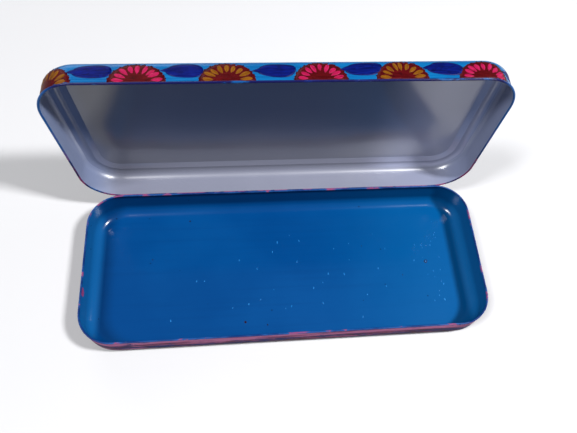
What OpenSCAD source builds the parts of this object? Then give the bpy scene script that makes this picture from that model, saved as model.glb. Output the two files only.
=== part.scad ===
// Hinged tin pencil case: a drawn tray and a drawn lid, joined by two pressed steel hinges.
// Origin: centre of the base's underside. X runs along the case, Y towards the hinges, Z up.
// The lid is drawn open, standing square to the base.

/* [Case] */

// Length over the lid's rim
case_w = 200; // [170:1:230]
// Depth over the lid's rim, from front to hinge side
case_d = 81; // [65:1:100]
// Plan radius of the lid's four corners
corner_r = 17.5; // [14:0.5:24]
// Thickness of the tinplate
sheet_t = 0.3; // [0.25:0.05:0.4]
// Lid opening angle, where 0 is closed
open_angle = 90; // [0:1:156]

/* [Base tray] */

// Height of the tray
base_h = 16; // [14:0.5:20]
// Outside radius between the tray's wall and its floor
base_fillet = 5.5; // [3:0.5:6]
// Diameter of the hem that is rolled inwards round the tray's rim
hem_d = 0.9; // [0.8:0.05:1.2]

/* [Lid] */

// Depth of the lid from its rim to the flat margin
lid_h = 13.3; // [11:0.1:16]
// Outside radius between the lid's wall and its top
lid_fillet = 4.5; // [2:0.5:4.5]
// Diameter of the curl that is rolled outwards round the lid's rim
curl_d = 1; // [0.9:0.05:1.3]
// Rise of the embossed panel above the margin
emboss_h = 1.2; // [0.6:0.1:1.6]
// Distance from the rim's outer edge to the foot of the embossed step, along the long sides
step_side = 6.1; // [5.8:0.1:8]
// The same distance at the two ends
step_end = 6.4; // [5.8:0.1:11]
// Width of the step's slope, seen from above
step_run = 2.8; // [2:0.1:5]
// Length of wall that the closed lid covers on the tray
overlap = 6.5; // [4:0.5:7]
// Space between the closed lid's wall and the tray's wall
fit_gap = 0.2; // [0.15:0.05:0.4]

/* [Hinges] */

// Distance from the middle of the case to the middle of each hinge
hinge_x = 52; // [35:1:62]
// Length of a hinge leaf
leaf_w = 24; // [18:1:32]
// Thickness of a hinge leaf
leaf_t = 0.4; // [0.35:0.05:0.5]
// Outside diameter of the knuckles
knuckle_d = 2.1; // [2:0.1:2.6]
// Length of the middle knuckle, which belongs to the base
middle_knuckle = 10; // [8:1:14]
// Diameter of the hinge pin
pin_d = 1.2; // [1:0.1:1.2]
// Running clearance on the pin's radius
pin_clearance = 0.05; // [0.03:0.01:0.09]
// Height of the base leaf's plate on the tray's rear wall
base_plate_h = 3.4; // [2.6:0.1:3.4]
// Height of the lid leaf's plate on the lid's rear wall
lid_plate_h = 6.4; // [5:0.2:7]

/* [Hidden] */

$fn = 64;
cut = 1;
skin = 0.01;

// Walls, as insets from the lid rim's outer edge
lid_inset = curl_d - sheet_t;
base_inset = lid_inset + sheet_t + fit_gap;
lid_half_d = case_d / 2 - lid_inset;
base_half_d = case_d / 2 - base_inset;

// Heights with the lid closed
lid_rim_z = base_h - overlap;
axis_drop = 0.5;
axis_z = lid_rim_z + axis_drop;
axis_y = case_d / 2 + knuckle_d / 2 + 0.2;

// Hinge
bore_d = pin_d + 2 * pin_clearance;
knuckle_gap = 0.25;
flange_sink = 0.05;
head_d = 1.9;
head_t = 0.3;
notch_w = middle_knuckle + 1.2;
notch_h = 1.2;
leaf_corner = 1.2;

// Node to draw

// ---------- Sheet-metal helpers ----------

// A quarter ring of sheet between radii r and r - t, in the corner quadrant where x < 0 and y < 0.
module bend(r, t) {
    intersection() {
        difference() {
            circle(r);
            circle(r - t);
        }
        translate([-r - cut, -r - cut]) square(r + cut);
    }
}

// A rolled edge: a tube of sheet that stays open by a slot at the given angle.
module rolled_edge(d, t, slot_angle) {
    difference() {
        circle(d = d);
        circle(d = d - 2 * t);
        rotate(slot_angle) translate([0, -t / 3]) square([d, t / 1.5]);
    }
}

// Carries an edge profile round a rounded rectangle. In the profile, x is the inset from the
// outline, measured inwards, and y is the height. The profile stays within the corner radius r.
module carry_round(w, d, r) {
    for (sx = [-1, 1]) {
        for (sy = [-1, 1]) {
            translate([sx * (w / 2 - r), sy * (d / 2 - r), 0])
                rotate(sx > 0 ? (sy > 0 ? 0 : 270) : (sy > 0 ? 90 : 180))
                    rotate_extrude(angle = 90) translate([r, 0]) mirror([1, 0]) children();
        }
    }
    for (s = [0, 1]) {
        rotate(180 * s) {
            translate([w / 2, d / 2 - r, 0])
                rotate([90, 0, 0]) linear_extrude(d - 2 * r) mirror([1, 0]) children();
            translate([-w / 2 + r, d / 2, 0])
                rotate([90, 0, 90]) linear_extrude(w - 2 * r) mirror([1, 0]) children();
        }
    }
}

// A flat rounded rectangle that is drawn with square-sided pieces and four round corners.
module round_plate(w, d, r, t) {
    linear_extrude(t) {
        square([w, d - 2 * r], center = true);
        square([w - 2 * r, d], center = true);
        for (sx = [-1, 1]) {
            for (sy = [-1, 1]) {
                translate([sx * (w / 2 - r), sy * (d / 2 - r)]) circle(r);
            }
        }
    }
}

// ---------- Base tray ----------

// Wall, fillet and hem of the tray, from the outline inwards.
module base_profile() {
    translate([0, base_fillet]) square([sheet_t, base_h - base_fillet - hem_d / 2]);
    translate([base_fillet, base_fillet]) bend(base_fillet, sheet_t);
    translate([hem_d / 2, base_h - hem_d / 2]) rolled_edge(hem_d, sheet_t, -60);
}

module base_shell() {
    w = case_w - 2 * base_inset;
    d = case_d - 2 * base_inset;
    r = corner_r - base_inset;
    color([0.03, 0.3, 0.6]) {
        carry_round(w, d, r) base_profile();
        round_plate(w - 2 * base_fillet, d - 2 * base_fillet, r - base_fillet, sheet_t);
    }
}

// ---------- Lid ----------

// The slope that joins the lid's margin to its embossed panel, from the slope's foot inwards.
module step_profile() {
    polygon([
        [0, lid_h - sheet_t], [step_run, lid_h + emboss_h - sheet_t],
        [step_run, lid_h + emboss_h], [0, lid_h]
    ]);
}

// Curl, wall and fillet of the lid, from the outline inwards, with the rim at 0.
module lid_profile() {
    translate([0, curl_d / 2]) square([sheet_t, lid_h - lid_fillet - curl_d / 2]);
    translate([lid_fillet, lid_h - lid_fillet]) mirror([0, 1]) bend(lid_fillet, sheet_t);
    translate([sheet_t - curl_d / 2, curl_d / 2]) rolled_edge(curl_d, sheet_t, 120);
}

// The flat margin between the lid's fillet and the foot of the step.
module lid_margin(w, d, r, step_w, step_d, step_r) {
    difference() {
        round_plate(w, d, r, sheet_t);
        translate([0, 0, -cut]) round_plate(step_w, step_d, step_r, sheet_t + 2 * cut);
    }
}

// The lid as it sits when it is closed, with its rim at the given height.
module closed_lid(rim_z) {
    w = case_w - 2 * lid_inset;
    d = case_d - 2 * lid_inset;
    r = corner_r - lid_inset;
    step_w = case_w - 2 * step_end;
    step_d = case_d - 2 * step_side;
    step_r = corner_r - step_side;
    translate([0, 0, rim_z]) {
        carry_round(w, d, r) lid_profile();
        translate([0, 0, lid_h - sheet_t])
            lid_margin(w - 2 * lid_fillet, d - 2 * lid_fillet, r - lid_fillet, step_w, step_d, step_r);
        carry_round(step_w, step_d, step_r) step_profile();
        translate([0, 0, lid_h + emboss_h - sheet_t])
            round_plate(step_w - 2 * step_run, step_d - 2 * step_run, step_r - step_run, sheet_t);
    }
}

// Turns its children about the hinge axis, from closed to the drawn opening angle.
module opened() {
    translate([0, axis_y, axis_z])
        rotate([-open_angle, 0, 0])
            translate([0, -axis_y, -axis_z]) children();
}

module lid_shell() {
    color([0.55, 0.58, 0.66]) opened() closed_lid(lid_rim_z);
}

// ---------- Hinges ----------

// A knuckle tube along X, centred on x.
module knuckle(x, length) {
    translate([x - length / 2, axis_y, axis_z]) rotate([0, 90, 0]) cylinder(h = length, d = knuckle_d);
}

// The bore that runs through every knuckle.
module pin_bore() {
    translate([-leaf_w, axis_y, axis_z]) rotate([0, 90, 0]) cylinder(h = 2 * leaf_w, d = bore_d);
}

// A thin plate that stands in the XZ plane, with its two free corners rounded.
module plate(y, z_fixed, z_free) {
    low = min(z_fixed, z_free);
    high = max(z_fixed, z_free);
    round_z = z_free > z_fixed ? high - leaf_corner : low + leaf_corner;
    translate([0, y + leaf_t, 0]) rotate([90, 0, 0]) linear_extrude(leaf_t) {
        translate([-leaf_w / 2 + leaf_corner, low]) square([leaf_w - 2 * leaf_corner, high - low]);
        translate([-leaf_w / 2, z_free > z_fixed ? low : round_z])
            square([leaf_w, high - low - leaf_corner]);
        for (s = [-1, 1]) {
            translate([s * (leaf_w / 2 - leaf_corner), round_z]) circle(leaf_corner);
        }
    }
}

// The leaf that is welded to the tray: middle knuckle, flange under the rim and plate.
module base_leaf() {
    flange_z = axis_z - knuckle_d / 2 + flange_sink;
    color([0.72, 0.72, 0.74]) difference() {
        union() {
            knuckle(0, middle_knuckle);
            translate([-middle_knuckle / 2, base_half_d + skin, flange_z])
                cube([middle_knuckle, axis_y - base_half_d - skin, leaf_t]);
            plate(base_half_d, flange_z + leaf_t, flange_z - base_plate_h);
        }
        pin_bore();
    }
}

// The leaf that is welded to the lid: two outer knuckles, flange over the curl and plate.
module lid_leaf() {
    side = (leaf_w - middle_knuckle) / 2 - knuckle_gap;
    side_x = leaf_w / 2 - side / 2;
    flange_z = axis_z + knuckle_d / 2 - leaf_t - flange_sink;
    color([0.72, 0.72, 0.74]) opened() difference() {
        union() {
            for (s = [-1, 1]) {
                knuckle(s * side_x, side);
                translate([s * side_x - side / 2, lid_half_d + skin, flange_z])
                    cube([side, axis_y - lid_half_d - skin, leaf_t]);
            }
            plate(lid_half_d, flange_z, flange_z + lid_plate_h);
        }
        pin_bore();
        translate([-notch_w / 2, lid_half_d - cut, flange_z - cut])
            cube([notch_w, 2 * cut, notch_h + cut]);
    }
}

// A plain pin with a peened head at each end.
module hinge_pin() {
    color([0.62, 0.62, 0.64]) translate([0, axis_y, axis_z]) rotate([0, 90, 0]) {
        translate([0, 0, -leaf_w / 2 - head_t]) cylinder(h = leaf_w + 2 * head_t, d = pin_d);
        for (s = [0, 1]) {
            mirror([0, 0, s]) translate([0, 0, leaf_w / 2 + 0.05]) cylinder(h = head_t, d = head_d);
        }
    }
}

module hinge_left_base_leaf() {
    translate([-hinge_x, 0, 0]) base_leaf();
}

module hinge_left_lid_leaf() {
    translate([-hinge_x, 0, 0]) lid_leaf();
}

module hinge_left_pin() {
    translate([-hinge_x, 0, 0]) hinge_pin();
}

module hinge_right_base_leaf() {
    translate([hinge_x, 0, 0]) base_leaf();
}

module hinge_right_lid_leaf() {
    translate([hinge_x, 0, 0]) lid_leaf();
}

module hinge_right_pin() {
    translate([hinge_x, 0, 0]) hinge_pin();
}

// ---------- Nodes ----------

base_shell();
lid_shell();
hinge_left_base_leaf();
hinge_left_lid_leaf();
hinge_left_pin();
hinge_right_base_leaf();
hinge_right_lid_leaf();
hinge_right_pin();
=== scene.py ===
import math
import random

import bpy
from mathutils import Matrix, Vector


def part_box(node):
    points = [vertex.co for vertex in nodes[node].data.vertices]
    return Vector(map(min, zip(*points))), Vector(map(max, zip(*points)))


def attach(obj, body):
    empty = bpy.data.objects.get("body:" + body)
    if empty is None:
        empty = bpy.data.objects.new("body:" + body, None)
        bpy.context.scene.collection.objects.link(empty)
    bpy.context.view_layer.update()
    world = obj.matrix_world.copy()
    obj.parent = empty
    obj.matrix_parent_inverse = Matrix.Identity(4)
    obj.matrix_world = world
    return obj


# A hinged tin pencil case, painted by hand. The CAD shells keep their shapes: this script gives
# them their finishes, adds the raised brush dabs of the decoration, and sets the camera and light.

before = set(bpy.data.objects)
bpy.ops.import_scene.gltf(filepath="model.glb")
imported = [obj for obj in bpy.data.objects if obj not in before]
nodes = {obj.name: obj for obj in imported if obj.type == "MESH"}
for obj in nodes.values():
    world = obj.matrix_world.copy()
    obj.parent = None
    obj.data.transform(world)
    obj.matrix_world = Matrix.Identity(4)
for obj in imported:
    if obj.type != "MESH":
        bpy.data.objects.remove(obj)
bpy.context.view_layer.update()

MM = 0.001

# ---------- The case's measures, in millimetres ----------

lid_lo, lid_hi = (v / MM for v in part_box("lid_shell"))
base_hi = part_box("base_shell")[1] / MM
RIM_Y = lid_lo.y                       # the open lid's rim plane
LID_MID_Z = (lid_lo.z + lid_hi.z) / 2  # middle of the open lid
CORNER_R = 17.5                        # over the lid's curl
CURL = 1.0                             # diameter of the lid's rolled rim
SHEET = 0.3                            # thickness of the tinplate
WALL_INSET = CURL - SHEET              # the lid's wall stands this far inside its curl
LID_FILLET = 4.5                       # rounded edge between the lid's wall and top
LID_H = 13.3                           # rim to margin
PLATEAU_Y = lid_hi.y                   # outside of the embossed panel
WALL_R = CORNER_R - WALL_INSET
WALL_HALF_X = lid_hi.x - WALL_INSET
WALL_HALF_Q = (lid_hi.z - lid_lo.z) / 2 - WALL_INSET
STRAIGHT_T = LID_H - LID_FILLET        # height of the wall's straight part
STEP_FOOT = (93.6, 34.4, 11.4)         # half length, half depth and corner radius of the step's foot
STEP_RUN = 2.8                         # width of the step's slope
TRAY_R = CORNER_R - 1.2                # corners of the tray, 1.2 mm inside the lid's curl
TRAY_FILLET = 5.5                      # rounded edge between the tray's wall and underside
HEM_H = 0.75                           # faces this close below the tray's rim are on its hem
ROUND_LEAD = 1.0                       # a wall starts to count as rounded this far before its fillet
SLACK = 0.05                           # a face this little past the curl still belongs to it

SMOOTH_DEG = 25                        # a sharper angle between faces stays an edge
LEVEL = 0.995                          # cosine: a face this close to the lid's plane is flat
DOWNWARD = -0.9                        # a tray face whose normal points lower is on the underside
TONE = 0.62                            # the finishes are this much darker than they show when lit


def srgb(r, g, b, tone=TONE):
    """A colour from 0-255 display values, as linear RGBA."""
    def lin(c):
        c /= 255
        return tone * (c / 12.92 if c <= 0.04045 else ((c + 0.055) / 1.055) ** 2.4)
    return (lin(r), lin(g), lin(b), 1.0)


# ---------- Node helpers ----------

class Look:
    """A Principled material with short calls for the nodes that feed it. Its coordinates are in
    millimetres in the shared frame at rest."""

    def __init__(self, name, **constants):
        self.mat = bpy.data.materials.new(name)
        self.mat.use_nodes = True
        self.tree = self.mat.node_tree
        self.shader = self.tree.nodes["Principled BSDF"]
        for key, value in constants.items():
            self.shader.inputs[key.replace("_", " ")].default_value = value
        coord = self.tree.nodes.new("ShaderNodeTexCoord")
        self.object_mm = self.stretch(coord.outputs["Object"], (1 / MM, 1 / MM, 1 / MM))
        self.x, self.y, self.z = self.node("ShaderNodeSeparateXYZ", Vector=self.object_mm).outputs
        self.uv = coord.outputs["UV"]

    def put(self, socket, value):
        if isinstance(value, bpy.types.NodeSocket):
            self.tree.links.new(value, socket)
        elif value is not None:
            socket.default_value = value

    def node(self, kind, **inputs):
        n = self.tree.nodes.new(kind)
        for key, value in inputs.items():
            self.put(n.inputs[key.replace("_", " ")], value)
        return n

    def stretch(self, vector, scale):
        """The vector times scale. A small number there draws a pattern out along that axis."""
        return self.node("ShaderNodeMapping", Vector=vector, Scale=scale).outputs[0]

    def noise(self, vector, scale, detail, rough=0.5, distort=0.0):
        n = self.node("ShaderNodeTexNoise", Vector=vector, Scale=scale, Detail=detail,
                      Roughness=rough, Distortion=distort)
        return n.outputs["Fac"]

    def cells(self, vector, scale):
        return self.node("ShaderNodeTexVoronoi", Vector=vector, Scale=scale).outputs["Distance"]

    def ramp(self, value, low, high, to_low=0.0, to_high=1.0):
        """A smooth step from to_low at low to to_high at high, level outside them."""
        n = self.node("ShaderNodeMapRange", Value=value)
        n.interpolation_type = "SMOOTHSTEP"
        for key, v in (("From Min", low), ("From Max", high), ("To Min", to_low), ("To Max", to_high)):
            n.inputs[key].default_value = v
        return n.outputs[0]

    def near(self, vector, point, radius, ragged):
        """1 inside a ragged spot round a point, 0 outside it."""
        n = self.tree.nodes.new("ShaderNodeVectorMath")
        n.operation = "DISTANCE"
        self.put(n.inputs[0], vector)
        n.inputs[1].default_value = point
        edge = self.math("MULTIPLY", self.noise(vector, 0.9, 3, 0.7), 4 * ragged)
        distance = self.math("ADD", n.outputs["Value"], edge)
        return self.ramp(distance, radius + 2 * ragged, radius + 1.6 * ragged)

    def math(self, operation, a, b=None):
        n = self.tree.nodes.new("ShaderNodeMath")
        n.operation = operation
        self.put(n.inputs[0], a)
        self.put(n.inputs[1], b)
        return n.outputs[0]

    def blend(self, fac, a, b):
        """Colour a where fac is 0, colour b where it is 1."""
        n = self.tree.nodes.new("ShaderNodeMix")
        n.data_type = "RGBA"
        self.put(n.inputs[0], fac)
        self.put(n.inputs[6], a)
        self.put(n.inputs[7], b)
        return n.outputs[2]

    def bump(self, height, strength, distance_mm, below=None):
        """A normal raised by height, over the normal below it."""
        n = self.node("ShaderNodeBump", Height=height, Strength=strength,
                      Distance=distance_mm * MM, Normal=below)
        return n.outputs[0]

    def finish(self, colour, roughness, normal=None, metallic=None):
        self.put(self.shader.inputs["Base Color"], colour)
        self.put(self.shader.inputs["Roughness"], roughness)
        self.put(self.shader.inputs["Normal"], normal)
        self.put(self.shader.inputs["Metallic"], metallic)
        return self.mat


# ---------- Materials ----------

def tray_enamel():
    """Glossy blue enamel, brushed on and levelled: long soft streaks and dark specks, with a smear
    of pink on the left wall. Painted light makes it lighter to the right and on the end walls."""
    k = Look("tray_enamel", Specular_IOR_Level=0.2)
    long_streak = k.noise(k.stretch(k.object_mm, (0.012, 0.35, 0.35)), 1.0, 4, 0.55)
    clouds = k.noise(k.object_mm, 0.018, 3, 0.5)
    colour = k.blend(k.ramp(clouds, 0.35, 0.7), srgb(1, 56, 112), srgb(2, 62, 119))
    colour = k.blend(k.ramp(long_streak, 0.45, 0.75, 0.0, 0.4), colour, srgb(1, 51, 105))
    # Painted light: the enamel grows lighter towards the right, as if a lamp stood near that end.
    painted_light_right = k.ramp(k.x, 0, 95)
    colour = k.blend(k.math("MULTIPLY", painted_light_right, 0.7), colour, srgb(2, 78, 133))
    # Painted light: the tray's end walls are lighter, where the lamps fall on them.
    painted_light_end_walls = k.ramp(k.math("ABSOLUTE", k.x), 92.5, 96.5)
    colour = k.blend(k.math("MULTIPLY", painted_light_end_walls, 0.6), colour, srgb(22, 104, 170))
    smear = k.near(k.object_mm, (-98.5, -12.0, 12.5), 2.2, 0.9)
    colour = k.blend(smear, colour, srgb(150, 60, 110))
    speck = k.ramp(k.cells(k.object_mm, 0.11), 0.055, 0.035)
    colour = k.blend(k.math("MULTIPLY", speck, 0.75), colour, srgb(4, 24, 62))
    peel = k.noise(k.object_mm, 0.35, 2, 0.5)
    normal = k.bump(long_streak, 0.12, 0.25)
    normal = k.bump(peel, 0.05, 0.3, normal)
    rough = k.ramp(clouds, 0.3, 0.7, 0.13, 0.19)
    return k.finish(colour, rough, normal)


def lid_lacquer():
    """Satin grey lacquer on tinplate, almost smooth, with faint drawing lines. Painted shade makes it
    darker towards the lid's front edge, and painted light makes both ends bluer and the right paler,
    most of all on the flat. On the flat of the lid the bump also dishes the ends a little, so that
    they reflect more of the table."""
    k = Look("lid_lacquer", Specular_IOR_Level=0.9)
    clouds = k.noise(k.object_mm, 0.03, 3, 0.5)
    lines = k.noise(k.stretch(k.object_mm, (0.02, 0.4, 0.9)), 1.0, 3, 0.6)
    colour = k.blend(clouds, srgb(110, 113, 130), srgb(117, 120, 137))
    colour = k.blend(k.ramp(lines, 0.5, 0.8, 0.0, 0.25), colour, srgb(104, 109, 127))
    # Painted shade: darker towards the lid's front edge, where its top wall shadows the inside.
    front = k.ramp(k.z, 42, 88, 0.0, 0.45)
    colour = k.blend(front, colour, srgb(62, 68, 86))
    # Painted light: both ends of the lid's inside are bluer and lighter.
    ends = k.ramp(k.math("ABSOLUTE", k.x), 84, 97)
    colour = k.blend(k.math("MULTIPLY", ends, 0.7), colour, srgb(124, 138, 174))
    # Painted light: paler towards the right.
    right = k.ramp(k.x, 35, 80, 0.0, 0.5)
    colour = k.blend(right, colour, srgb(128, 134, 160))
    flat = k.ramp(k.y, PLATEAU_Y - 3.2, PLATEAU_Y - 1.8)
    # Painted light: the flat of the lid is much paler at its right end.
    pale = k.math("MULTIPLY", k.ramp(k.x, 42, 76, 0.0, 0.8), flat)
    colour = k.blend(pale, colour, srgb(176, 182, 212))
    dished = k.math("ADD", k.ramp(k.x, 20, 88, 1.0, 0.0), k.ramp(k.x, -90, -50, -0.3, 0.0))
    normal = k.bump(dished, flat, 7.5)
    normal = k.bump(lines, 0.05, 0.2, normal)
    rough = k.ramp(clouds, 0.3, 0.7, 0.15, 0.21)
    rough = k.math("ADD", rough, k.ramp(flat, 0, 1, 0.16, 0.0))
    return k.finish(colour, rough, normal)


def lid_ground():
    """Cyan-blue enamel ground outside the lid, laid on with a flat brush along its length and
    scratched to the tin at its ends."""
    k = Look("lid_ground", Specular_IOR_Level=0.14)
    streak = k.noise(k.stretch(k.object_mm, (0.04, 1.1, 1.1)), 1.0, 4, 0.6)
    clouds = k.noise(k.object_mm, 0.06, 3, 0.5)
    colour = k.blend(k.ramp(streak, 0.3, 0.7), srgb(2, 78, 130), srgb(5, 93, 148))
    colour = k.blend(k.ramp(clouds, 0.45, 0.75, 0, 0.6), colour, srgb(3, 66, 120))
    scratch = k.noise(k.stretch(k.object_mm, (0.5, 0.9, 0.16)), 1.0, 5, 0.75, 0.8)
    ends = k.ramp(k.math("ABSOLUTE", k.x), 84, 98)
    colour = k.blend(k.math("MULTIPLY", k.ramp(scratch, 0.56, 0.62), ends), colour, srgb(132, 142, 140))
    normal = k.bump(streak, 0.3, 0.12)
    rough = k.ramp(streak, 0.3, 0.7, 0.22, 0.32)
    return k.finish(colour, rough, normal)


def streaked_outside():
    """The tray's outer wall: mauve and pink drawn along it in streaks, with dark blue patches. A
    ragged, darker band of crimson and navy with pale flecks lies along its foot."""
    k = Look("tray_outside", Specular_IOR_Level=0.02)
    streak = k.noise(k.stretch(k.object_mm, (0.02, 0.02, 0.42)), 1.0, 7, 0.68, 0.5)
    streak = k.math("ADD", streak, k.ramp(k.z, 0.0, 16.0, -0.05, 0.05))
    patches = k.noise(k.stretch(k.object_mm, (0.11, 0.11, 0.4)), 1.0, 4, 0.65, 0.8)
    colour = k.blend(k.ramp(streak, 0.42, 0.48), srgb(44, 4, 32), srgb(122, 46, 90))
    colour = k.blend(k.ramp(streak, 0.51, 0.56), colour, srgb(178, 106, 148))
    colour = k.blend(k.ramp(patches, 0.60, 0.63), colour, srgb(6, 38, 98))
    band = k.blend(k.ramp(patches, 0.45, 0.50), srgb(58, 3, 28), srgb(6, 26, 92))
    flecks = k.noise(k.stretch(k.object_mm, (0.12, 0.12, 1.3)), 1.0, 4, 0.7, 0.6)
    band = k.blend(k.ramp(flecks, 0.63, 0.66), band, srgb(150, 120, 164))
    wave = k.noise(k.stretch(k.object_mm, (0.035, 0.035, 0.1)), 1.0, 4, 0.65, 0.3)
    level = k.math("ADD", k.z, k.math("MULTIPLY", wave, 10.0))
    drag = k.noise(k.stretch(k.object_mm, (0.045, 0.045, 0.5)), 1.0, 5, 0.65, 0.5)
    foot = k.math("MULTIPLY", k.ramp(level, 16.4, 14.6), k.ramp(drag, 0.42, 0.47))
    colour = k.blend(foot, colour, band)
    normal = k.bump(streak, 0.35, 0.12)
    rough = k.ramp(streak, 0.3, 0.7, 0.4, 0.5)
    return k.finish(colour, rough, normal)


def underside_enamel():
    """Navy enamel under the tray, scuffed where it rubs on a desk."""
    k = Look("underside_enamel", Specular_IOR_Level=0.5)
    streak = k.noise(k.stretch(k.object_mm, (0.03, 0.6, 0.6)), 1.0, 4, 0.6)
    clouds = k.noise(k.object_mm, 0.05, 4, 0.6)
    colour = k.blend(k.ramp(streak, 0.3, 0.7), srgb(14, 40, 100), srgb(22, 60, 128))
    scuffs = k.noise(k.stretch(k.object_mm, (0.25, 1.6, 1.0)), 1.0, 5, 0.75, 1.0)
    rubbed = k.math("MULTIPLY", k.ramp(scuffs, 0.60, 0.66), k.ramp(clouds, 0.45, 0.6))
    colour = k.blend(k.math("MULTIPLY", rubbed, 0.7), colour, srgb(120, 126, 140))
    normal = k.bump(streak, 0.25, 0.1)
    return k.finish(colour, k.ramp(clouds, 0.3, 0.7, 0.28, 0.42), normal)


def lid_curl():
    """The lid's rolled rim: navy, blue and pink paint laid over each other in patches, worn to the
    tin in places and bluer at the lid's ends. The pink stays off the front edge."""
    k = Look("lid_rim_paint", Specular_IOR_Level=0.15)
    along = k.noise(k.stretch(k.object_mm, (0.07, 0.25, 0.07)), 1.0, 4, 0.65, 0.5)
    fine = k.noise(k.object_mm, 0.8, 3, 0.6)
    colour = k.blend(k.ramp(along, 0.36, 0.42), srgb(10, 70, 128), srgb(12, 14, 70))
    pink = k.math("MULTIPLY", k.ramp(along, 0.46, 0.52), k.ramp(k.z, 84.0, 60.0))
    colour = k.blend(pink, colour, srgb(122, 50, 92))
    colour = k.blend(k.ramp(along, 0.60, 0.64), colour, srgb(14, 30, 92))
    ends = k.math("MULTIPLY", k.ramp(k.math("ABSOLUTE", k.x), 88, 96), k.ramp(k.z, 36, 56))
    colour = k.blend(k.math("MULTIPLY", ends, 0.8), colour, srgb(8, 84, 148))
    wear = k.math("ADD", k.math("MULTIPLY", fine, 0.5), k.math("MULTIPLY", along, 0.5))
    bare = k.ramp(wear, 0.64, 0.68)
    colour = k.blend(bare, colour, srgb(170, 172, 184))
    normal = k.bump(fine, 0.2, 0.08)
    return k.finish(colour, k.ramp(bare, 0, 1, 0.3, 0.4), normal, k.math("MULTIPLY", bare, 0.8))


def tray_hem():
    """The tray's rolled hem: the inside's blue, with a lilac bloom and pink slopped on the edge."""
    k = Look("tray_hem", Specular_IOR_Level=0.1)
    along = k.noise(k.stretch(k.object_mm, (0.06, 0.1, 0.06)), 1.0, 4, 0.65, 0.5)
    fine = k.noise(k.object_mm, 0.9, 3, 0.6)
    colour = k.blend(k.ramp(along, 0.4, 0.6), srgb(5, 40, 96), srgb(20, 70, 130))
    colour = k.blend(k.ramp(along, 0.57, 0.62), colour, srgb(124, 62, 104))
    colour = k.blend(k.ramp(fine, 0.66, 0.74, 0, 0.7), colour, srgb(120, 116, 150))
    return k.finish(colour, 0.42, k.bump(fine, 0.3, 0.06))


def brushed_dab(name, dark, light, edge, gloss=0.38):
    """Thick craft paint laid with one stroke of a round brush: bristle lines run along the dab.
    gloss is its lowest roughness."""
    k = Look(name, Specular_IOR_Level=0.06)
    bristle = k.noise(k.stretch(k.uv, (1.6, 13, 1)), 1.0, 4, 0.7, 0.3)
    cloud = k.noise(k.object_mm, 0.55, 3, 0.6)
    colour = k.blend(k.ramp(bristle, 0.35, 0.65), dark, light)
    colour = k.blend(k.ramp(cloud, 0.55, 0.7, 0, 0.6), colour, edge)
    normal = k.bump(bristle, 0.5, 0.08)
    return k.finish(colour, k.ramp(bristle, 0.3, 0.7, gloss, gloss + 0.1), normal)


def hinge_steel(name, dull):
    """Tinned steel with press lines, under slopped blue and pink paint that is scraped off in
    places. dull is its lowest roughness."""
    k = Look(name, Specular_IOR_Level=0.5)
    lines = k.noise(k.stretch(k.object_mm, (0.3, 5, 5)), 1.0, 4, 0.7)
    blot = k.noise(k.object_mm, 0.22, 4, 0.65, 0.6)
    colour = k.blend(k.ramp(lines, 0.3, 0.7), srgb(150, 152, 158), srgb(188, 190, 196))
    scrape = k.noise(k.stretch(k.object_mm, (0.5, 1.4, 1.4)), 1.0, 4, 0.7, 0.6)
    paint = k.math("MULTIPLY", k.ramp(blot, 0.40, 0.44), k.ramp(scrape, 0.60, 0.55))
    colour = k.blend(paint, colour, srgb(4, 82, 138))
    pink = k.math("MULTIPLY", k.ramp(blot, 0.60, 0.64), paint)
    colour = k.blend(pink, colour, srgb(132, 56, 98))
    metal = k.ramp(paint, 0, 1, 0.95, 0.0)
    rough = k.ramp(lines, 0.3, 0.7, dull, dull + 0.15)
    return k.finish(colour, rough, k.bump(lines, 0.2, 0.05), metal)


LACQUER = lid_lacquer()
GROUND = lid_ground()
LID_RIM = lid_curl()
ENAMEL = tray_enamel()
STREAKS = streaked_outside()
UNDERSIDE = underside_enamel()
HEM = tray_hem()


def shade(mesh, stepped):
    """Smooth normals that follow the larger faces, so flat panels stay flat. Faces that meet at
    more than SMOOTH_DEG keep their edge, and so does the lid's embossed step."""
    faces = mesh.polygons
    around = [[] for _ in mesh.vertices]
    step = []
    for face in faces:
        for v in face.vertices:
            around[v].append(face.index)
        c = face.center / MM
        inset = STEP_FOOT[2] - math.hypot(*outward((c.x, c.z - LID_MID_Z), *STEP_FOOT))
        step.append(stepped and 0 < inset < STEP_RUN and abs(face.normal.y) < LEVEL)
    normals = [f.normal.copy() for f in faces]
    areas = [f.area for f in faces]
    limit = math.cos(math.radians(SMOOTH_DEG))
    split = []
    for face in faces:
        own, mine = normals[face.index], step[face.index]
        for v in face.vertices:
            total = Vector((0, 0, 0))
            for other in around[v]:
                if step[other] == mine and normals[other].dot(own) > limit:
                    total += normals[other] * areas[other]
            split.append(total.normalized() if total.length > 0 else own)
    mesh.polygons.foreach_set("use_smooth", [True] * len(faces))
    mesh.normals_split_custom_set(split)


def outward(point, half_x, half_q, core_r):
    """Plan vector from the rounded rectangle's core to a point (x, q), away from the middle."""
    x = point[0] - max(-(half_x - core_r), min(half_x - core_r, point[0]))
    q = point[1] - max(-(half_q - core_r), min(half_q - core_r, point[1]))
    return x, q


def set_faces(node, materials, choose):
    """Gives each face of a CAD node one of the materials. The mesh's shape is left as it is."""
    mesh = nodes[node].data
    mesh.materials.clear()
    for m in materials:
        mesh.materials.append(m)
    for face in mesh.polygons:
        face.material_index = choose(face.center / MM, face.normal)
    shade(mesh, node == "lid_shell")


def lid_face(c, n):
    """The lid's inside is 0, its outside 1 and its curl 2, for a face at c with the normal n."""
    h = c.y - RIM_Y
    q = c.z - LID_MID_Z
    if h < CURL + SLACK:
        return 2
    dx, dq = outward((c.x, q), WALL_HALF_X, WALL_HALF_Q, WALL_R)
    up = max(0.0, h - (STRAIGHT_T - ROUND_LEAD))
    return 1 if n.x * dx + n.z * dq + n.y * up > 0 else 0


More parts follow.
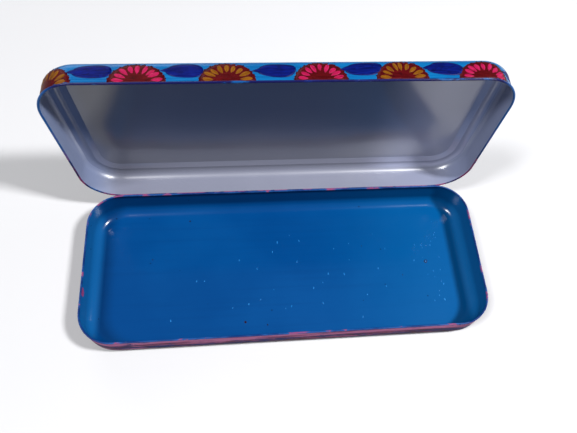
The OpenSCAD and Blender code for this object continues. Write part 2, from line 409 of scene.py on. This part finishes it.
def base_face(c, n):
    """The tray's inside is 0, its outer wall 1, its hem 2 and its underside 3."""
    if c.z > base_hi.z - HEM_H:
        return 2
    dx, dy = outward((c.x, c.y), base_hi.x, base_hi.y, TRAY_R)
    down = min(0.0, c.z - (TRAY_FILLET + ROUND_LEAD))
    if n.x * dx + n.y * dy + n.z * down <= 0:
        return 0
    return 3 if n.z < DOWNWARD else 1


set_faces("lid_shell", [LACQUER, GROUND, LID_RIM], lid_face)
set_faces("base_shell", [ENAMEL, STREAKS, HEM, UNDERSIDE], base_face)
LEAF_STEEL = hinge_steel("leaf_steel", 0.3)
PIN_STEEL = hinge_steel("pin_steel", 0.22)
for side in ("left", "right"):
    for part, steel in (("base_leaf", LEAF_STEEL), ("lid_leaf", LEAF_STEEL), ("pin", PIN_STEEL)):
        set_faces(f"hinge_{side}_{part}", [steel], lambda c, n: 0)


# ---------- Surfaces that the decoration lies on ----------

CORE_X = WALL_HALF_X - WALL_R
CORE_Q = WALL_HALF_Q - WALL_R
ARC = math.pi / 2 * WALL_R
# The way round the lid's wall, seen from outside the lid: each side's length, its first point and its
# direction in (x, q), then the middle of the corner after it and the angle at which that starts.
SIDES = (
    (2 * CORE_X, (-CORE_X, WALL_HALF_Q), (1, 0), (CORE_X, CORE_Q), 90),
    (2 * CORE_Q, (WALL_HALF_X, CORE_Q), (0, -1), (CORE_X, -CORE_Q), 0),
    (2 * CORE_X, (CORE_X, -WALL_HALF_Q), (-1, 0), (-CORE_X, -CORE_Q), -90),
    (2 * CORE_Q, (-WALL_HALF_X, -CORE_Q), (0, 1), (-CORE_X, CORE_Q), -180),
)


def lid_wall(s, t, off):
    """Outside of the lid: s runs along the wall from the middle of the front, t up from the rim
    and over the rounded edge, and off stands out from the sheet."""
    rest = (s + CORE_X) % (4 * (CORE_X + CORE_Q + ARC))
    for length, start, way, core, angle in SIDES:
        if rest <= length:
            x = start[0] + way[0] * rest
            q = start[1] + way[1] * rest
            nx, nq = -way[1], way[0]
            break
        rest -= length
        if rest <= ARC:
            a = math.radians(angle) - rest / WALL_R
            nx, nq = math.cos(a), math.sin(a)
            x, q = core[0] + WALL_R * nx, core[1] + WALL_R * nq
            break
        rest -= ARC
    lean = max(0.0, t - STRAIGHT_T) / LID_FILLET
    inset = LID_FILLET * (1 - math.cos(lean)) - off * math.cos(lean)
    h = min(t, STRAIGHT_T) + (LID_FILLET + off) * math.sin(lean)
    return Vector((x - nx * inset, RIM_Y + h, LID_MID_Z + q - nq * inset)) * MM


def lid_top(u, v, off):
    """Outside of the lid's embossed panel: u along the case, v from its middle to the front."""
    return Vector((u, PLATEAU_Y + off, LID_MID_Z + v)) * MM


def tray_floor(u, v, off):
    """Inside of the tray's floor: u along the case, v towards the hinges."""
    return Vector((u, v, SHEET + off)) * MM


# ---------- Raised brush dabs ----------

# Every dab draws from this one source, so the order of the draws decides how they all look.
rng = random.Random(7)
SUNK = -0.04  # a dab's foot is pressed this far into the sheet, in millimetres
# How high each kind of dab starts over the sheet, and how much higher its middle stands.
GROUND_COAT = (0.03, 0.05)
EDGE_DOT = (0.02, 0.06)
PETAL = (0.07, 0.1)
HEART = (0.07, 0.12)
LEAF = (0.02, 0.08)
LEAF_TAIL = (0.03, 0.07)
DOT = (0.03, 0.1)


class Layer:
    """All dabs of one paint, which become one mesh."""

    def __init__(self, name, material, body, slot):
        self.name, self.material, self.body, self.slot = name, material, body, slot
        self.points, self.faces, self.uvs = [], [], []

    def blob(self, surface, outline, centre, base, height, crown=0.6, rings=5, uv=None):
        """A closed, low mound over a star-shaped outline, pressed slightly into the sheet."""
        n = len(outline)
        uv = uv or (lambda p, w: (p * 0.1, w * 0.1))
        first = len(self.points)
        for side in (0, 1):
            for ring in range(rings + 1):
                rho = ring / rings
                if side == 0:
                    off = base + height * (1 - rho ** 2) ** crown if rho < 1 else base * 0.5
                else:
                    off = SUNK
                for p, w in (outline if ring else [centre]):
                    u, v = centre[0] + (p - centre[0]) * rho, centre[1] + (w - centre[1]) * rho
                    self.points.append(surface(u, v, off))
                    self.uvs.append(uv(u, v))
        size = 1 + rings * n

        def at(side, ring, i):
            return first + side * size + (0 if ring == 0 else 1 + (ring - 1) * n + i % n)

        for side in (0, 1):
            for ring in range(rings):
                for i in range(n):
                    face = [at(side, ring, i), at(side, ring + 1, i), at(side, ring + 1, i + 1)]
                    if ring > 0:
                        face.append(at(side, ring, i + 1))
                    self.faces.append(face if side == 0 else face[::-1])
        for i in range(n):
            self.faces.append([at(0, rings, i), at(1, rings, i), at(1, rings, i + 1), at(0, rings, i + 1)])

    def stroke(self, surface, at, angle, length, width, base, height, taper=0.0, sides=18,
               square=1.0):
        """One dab: an ellipse, or with taper a teardrop whose tail points back along angle. With
        square below 1 its ends are blunter."""
        ca, sa = math.cos(angle), math.sin(angle)
        wobble = [rng.uniform(-0.05, 0.05) for _ in range(3)]
        outline = []
        for i in range(sides):
            a = 2 * math.pi * i / sides
            grow = 1 + sum(w * math.sin((j + 2) * a + 7 * w) for j, w in enumerate(wobble))
            ec, es = (math.copysign(abs(v) ** square, v) for v in (math.cos(a), math.sin(a)))
            p = ec * length / 2 * grow
            w = es * width / 2 * grow * ((1 + ec) / 2) ** taper
            outline.append((at[0] + p * ca - w * sa, at[1] + p * sa + w * ca))
        shift = length * 0.16 * min(1.0, taper)
        centre = (at[0] + shift * ca, at[1] + shift * sa)
        seed = rng.uniform(0, 50)

        def uv(u, v):
            du, dv = u - at[0], v - at[1]
            return ((du * ca + dv * sa) / 10 + seed, (dv * ca - du * sa) / 10 + seed)

        self.blob(surface, outline, centre, base, height, uv=uv)

    def make(self):
        mesh = bpy.data.meshes.new(self.name)
        mesh.from_pydata(self.points, [], self.faces)
        layer = mesh.uv_layers.new(name="UVMap")
        for loop in mesh.loops:
            layer.data[loop.index].uv = self.uvs[loop.vertex_index]
        mesh.materials.append(self.material)
        for face in mesh.polygons:
            face.use_smooth = True
        mesh.update()
        obj = bpy.data.objects.new(self.name, mesh)
        bpy.context.scene.collection.objects.link(obj)
        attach(obj, self.body)


MAROON = brushed_dab("paint_maroon", srgb(56, 1, 4), srgb(76, 3, 8), srgb(34, 1, 6))
PINK = brushed_dab("paint_pink", srgb(132, 8, 50), srgb(158, 24, 74), srgb(104, 6, 38))
OCHRE = brushed_dab("paint_ochre", srgb(88, 49, 4), srgb(118, 72, 9), srgb(76, 34, 4))
NAVY = brushed_dab("paint_navy", srgb(0, 5, 62), srgb(2, 18, 98), srgb(0, 3, 44))
# The nibs' lighter blue is partly their own paint and partly a painted glint.
NIB = brushed_dab("dried_nibs_painted_glint", srgb(10, 86, 150), srgb(38, 116, 178), srgb(8, 76, 138), gloss=0.2)
DARK = brushed_dab("paint_dark", srgb(24, 3, 14), srgb(38, 6, 20), srgb(14, 2, 10))

maroon = Layer("flower_grounds", MAROON, "lid", "grey_lacquer")
pink = Layer("petals_pink", PINK, "lid", "grey_lacquer")
ochre = Layer("petals_ochre", OCHRE, "lid", "grey_lacquer")
navy = Layer("leaves_navy", NAVY, "lid", "grey_lacquer")
dark = Layer("scallops_dark", DARK, "lid", "grey_lacquer")


def half_flower(surface, s, t, half_w, high, petals):
    """A half-round flower with its flat side towards the rim: a dark ground, dots round its edge and
    a fan of petals."""
    steps = 30
    base_steps = 10
    dots = 11
    count = 9
    outline = []
    for i in range(steps + 1):
        a = math.pi * i / steps
        scallop = 1 + 0.025 * math.sin(a * 26)
        outline.append((s + half_w * math.cos(a) * scallop, t + high * math.sin(a) * scallop))
    for i in range(1, base_steps):
        outline.append((s - half_w + 2 * half_w * i / base_steps, t + rng.uniform(-0.15, 0.15)))
    maroon.blob(surface, outline, (s, t + high * 0.42), *GROUND_COAT, crown=0.3)
    for i in range(dots):
        a = math.pi * (i + 0.5 + rng.uniform(-0.3, 0.3)) / dots
        at = (s + half_w * math.cos(a), t + high * 1.01 * math.sin(a))
        size = rng.uniform(0.5, 0.8)
        dark.stroke(surface, at, a, size, size, *EDGE_DOT, sides=10)
    for i in range(count):
        a = math.pi * (i + 0.5) / count + rng.uniform(-0.05, 0.05)
        tilt = math.atan2(high * math.sin(a), half_w * math.cos(a))
        radius = math.hypot(half_w * math.cos(a), high * math.sin(a))
        reach = 0.66 + rng.uniform(-0.03, 0.03)
        at = (s + half_w * reach * math.cos(a), t + 0.4 + (high - 0.4) * reach * math.sin(a))
        length = radius * rng.uniform(0.40, 0.50)
        petals.stroke(surface, at, tilt, length, rng.uniform(2.1, 2.7), *PETAL, taper=0.3)


def round_flower(surface, u, v, radius, outer, inner):
    """A whole flower: a dark ground, an outer and an inner ring of petals, and a dab in the middle."""
    steps = 60
    dots = 34
    outline = []
    for i in range(steps):
        a = 2 * math.pi * i / steps
        out = radius * (1 + 0.015 * math.sin(a * 20) + rng.uniform(-0.006, 0.006))
        outline.append((u + out * math.cos(a), v + out * math.sin(a)))
    maroon.blob(surface, outline, (u, v), *GROUND_COAT, crown=0.3, rings=8)
    for i in range(dots):
        a = 2 * math.pi * (i + rng.uniform(-0.2, 0.2)) / dots
        at = (u + radius * math.cos(a), v + radius * math.sin(a))
        size = rng.uniform(1.0, 1.4)
        dark.stroke(surface, at, a, size, size, *EDGE_DOT, sides=10)
    rows = ((outer, 16, 0.74, 7.6, 4.0), (inner, 9, 0.38, 5.2, 3.0))
    for petals, count, reach, length, width in rows:
        for i in range(count):
            a = 2 * math.pi * (i + rng.uniform(-0.08, 0.08)) / count
            at = (u + radius * reach * math.cos(a), v + radius * reach * math.sin(a))
            long = length * rng.uniform(0.92, 1.06)
            wide = width * rng.uniform(0.9, 1.08)
            petals.stroke(surface, at, a, long, wide, *PETAL, taper=0.35)
    outer.stroke(surface, (u, v), 0.0, 3.4, 3.2, *HEART)


def leaf(surface, s, t, length, width, angle):
    """A plump leaf: one pressed dab of the brush, with the tail where the brush was lifted."""
    ca, sa = math.cos(angle), math.sin(angle)
    body = length * 0.86
    at = (s + (length - body) / 2 * ca, t + (length - body) / 2 * sa)
    navy.stroke(surface, at, angle, body, width, *LEAF, taper=0.1, sides=26, square=0.8)
    tail = length * 0.5
    at = (s - (length - tail) / 2 * ca, t - (length - tail) / 2 * sa + width * 0.06)
    navy.stroke(surface, at, angle + 0.08, tail, width * 0.62, *LEAF_TAIL, taper=0.6)


# The row of flowers and leaves along the lid's wall: its front, both ends and their corners. The six
# places from -94.0 to 81.9 were measured in the photo, and the others go on at about 35 mm.
FLOWERS_S = [-164.5, -129.5, -94.0, -58.1, -23.3, 13.8, 47.0, 81.9, 117.0, 152.0]
FLOWERS_T = 1.15
LEAVES_T = 6.4
for i, s in enumerate(FLOWERS_S):
    half_w = rng.uniform(10.8, 11.4)
    high = rng.uniform(9.2, 9.9)
    half_flower(lid_wall, s, FLOWERS_T, half_w, high, pink if i % 2 else ochre)
for a, b in zip(FLOWERS_S, FLOWERS_S[1:]):
    t = LEAVES_T + rng.uniform(-0.3, 0.4)
    length = rng.uniform(16.6, 18.4)
    width = rng.uniform(6.8, 7.8)
    leaf(lid_wall, (a + b) / 2 - 0.3, t, length, width, rng.uniform(-0.05, 0.06))

# Round flowers, leaves and dots on the lid's embossed panel.
ROUND_R = 19.0
for i, u in enumerate((-56.0, 0.0, 56.0)):
    round_flower(lid_top, u, 0.0, ROUND_R, (pink, ochre)[i % 2], (ochre, pink)[i % 2])
for u in (-28.0, 28.0):
    for up in (-1, 1):
        for out in (-1, 1):
            angle = math.atan2(up * 9.0, out * 5.0)
            leaf(lid_top, u + out * 4.2, up * 13.5, 14.5, 6.6, angle)
    ochre.stroke(lid_top, (u, 0.0), 0.0, 5.0, 5.0, *DOT)
    for i in range(6):
        a = math.pi * i / 3
        pink.stroke(lid_top, (u + 4.6 * math.cos(a), 4.6 * math.sin(a)), a, 3.0, 2.3, *DOT)
for out in (-1, 1):
    for up in (-1, 0, 1):
        leaf(lid_top, out * 81.5, up * 14.0, 12.5, 6.0, math.pi / 2 * (1 - out) + up * out * 0.5)

# Dust nibs and drops that dried into the tray's enamel, most of them towards its right end.
nibs = Layer("enamel_nibs", NIB, "base", "blue_enamel")
specks = Layer("enamel_specks", DARK, "base", "blue_enamel")
NIB_COUNT = 54
for i in range(NIB_COUNT):
    u = 84 - 150 * rng.random() ** 2.8
    v = rng.uniform(-27, 28) - (6 if u > 30 and rng.random() < 0.4 else 0)
    size = rng.uniform(0.4, 0.75)
    angle = rng.uniform(1.2, 1.9)
    length = size * rng.uniform(1.2, 2.4)
    height = rng.uniform(0.12, 0.22)
    nibs.stroke(tray_floor, (u, max(v, -28)), angle, length, size, 0.0, height, sides=10)
# Dark specks as (u, v, size). Most of their places, and the drop's, were measured in the photo.
SPECKS = (
    (-69, 9, 0.6),
    (-22, -27.5, 1.1),
    (-11, -29.5, 0.7),
    (-50, 31, 0.8),
    (42, 12, 0.5),
    (62, -6, 0.5),
)
for u, v, size in SPECKS:
    specks.stroke(tray_floor, (u, v), rng.uniform(0, 3), size * 1.2, size, 0.0, 0.08, sides=10)
drop = (75.9, 1.3)
specks.stroke(tray_floor, drop, 0.3, 1.9, 1.7, 0.0, 0.12, sides=14)
nibs.stroke(tray_floor, drop, 0.3, 1.1, 1.0, 0.1, 0.16, sides=14)

for layer in (maroon, pink, ochre, navy, dark, nibs, specks):
    layer.make()

# ---------- Stage, light and camera ----------

FLOOR_HALF = 6.0
floor = bpy.data.meshes.new("floor")
corners = [(x * FLOOR_HALF, y * FLOOR_HALF, 0) for x, y in ((-1, -1), (1, -1), (1, 1), (-1, 1))]
floor.from_pydata(corners, [], [(0, 1, 2, 3)])
floor_obj = bpy.data.objects.new("floor", floor)
bpy.context.scene.collection.objects.link(floor_obj)
paper = Look("floor_paper", Specular_IOR_Level=0.2)
floor.materials.append(paper.finish(srgb(156, 156, 158, 1.0), 0.8))


def area_light(name, at, width, height, power):
    """A rectangular lamp at a place in metres, turned to the middle of the case."""
    data = bpy.data.lights.new(name, "AREA")
    data.shape = "RECTANGLE"
    data.size, data.size_y, data.energy = width, height, power
    obj = bpy.data.objects.new(name, data)
    obj.location = at
    obj.rotation_euler = (-Vector(at)).to_track_quat("-Z", "Y").to_euler()
    bpy.context.scene.collection.objects.link(obj)


area_light("key", (0.54, -0.15, 0.84), 0.09, 0.13, 20.8)
area_light("fill", (-0.88, -0.34, 1.52), 0.34, 0.5, 41)
area_light("side_window", (1.9, 0.75, 0.6), 0.7, 0.7, 8)
area_light("back_window", (-0.7, 1.7, 0.8), 1.2, 0.8, 12)

world = bpy.data.worlds.new("soft_room")
world.use_nodes = True
background = world.node_tree.nodes["Background"]
background.inputs["Color"].default_value = (0.93, 0.95, 1.0, 1)
background.inputs["Strength"].default_value = 0.18
bpy.context.scene.world = world
bpy.context.scene.view_settings.view_transform = "Standard"

# The camera's place in millimetres, its angles in radians, and a lens shift in frame widths, from a
# fit to the outlines in the photo.
CAMERA_AT = Vector((-15.03, -103.08, 245.48)) * MM
YAW, PITCH, ROLL = 0.2254, 1.1591, 0.1623
SENSOR_MM = 36
LENS_MM = 31.526
SHIFT_X, SHIFT_Y = -0.02409, 0.08709
look = Vector((math.sin(YAW) * math.cos(PITCH), math.cos(YAW) * math.cos(PITCH), -math.sin(PITCH)))
right = Vector((math.cos(YAW), -math.sin(YAW), 0))
up = right.cross(look)
right_r = right * math.cos(ROLL) + up * math.sin(ROLL)
up_r = up * math.cos(ROLL) - right * math.sin(ROLL)
lens = bpy.data.cameras.new("camera")
lens.sensor_width = SENSOR_MM
lens.lens = LENS_MM
lens.shift_x, lens.shift_y = SHIFT_X, SHIFT_Y
lens.clip_start, lens.clip_end = 0.01, 50
camera = bpy.data.objects.new("camera", lens)
turned = Matrix((right_r, up_r, -look)).transposed().to_4x4()
camera.matrix_world = Matrix.Translation(CAMERA_AT) @ turned
bpy.context.scene.collection.objects.link(camera)
bpy.context.scene.camera = camera
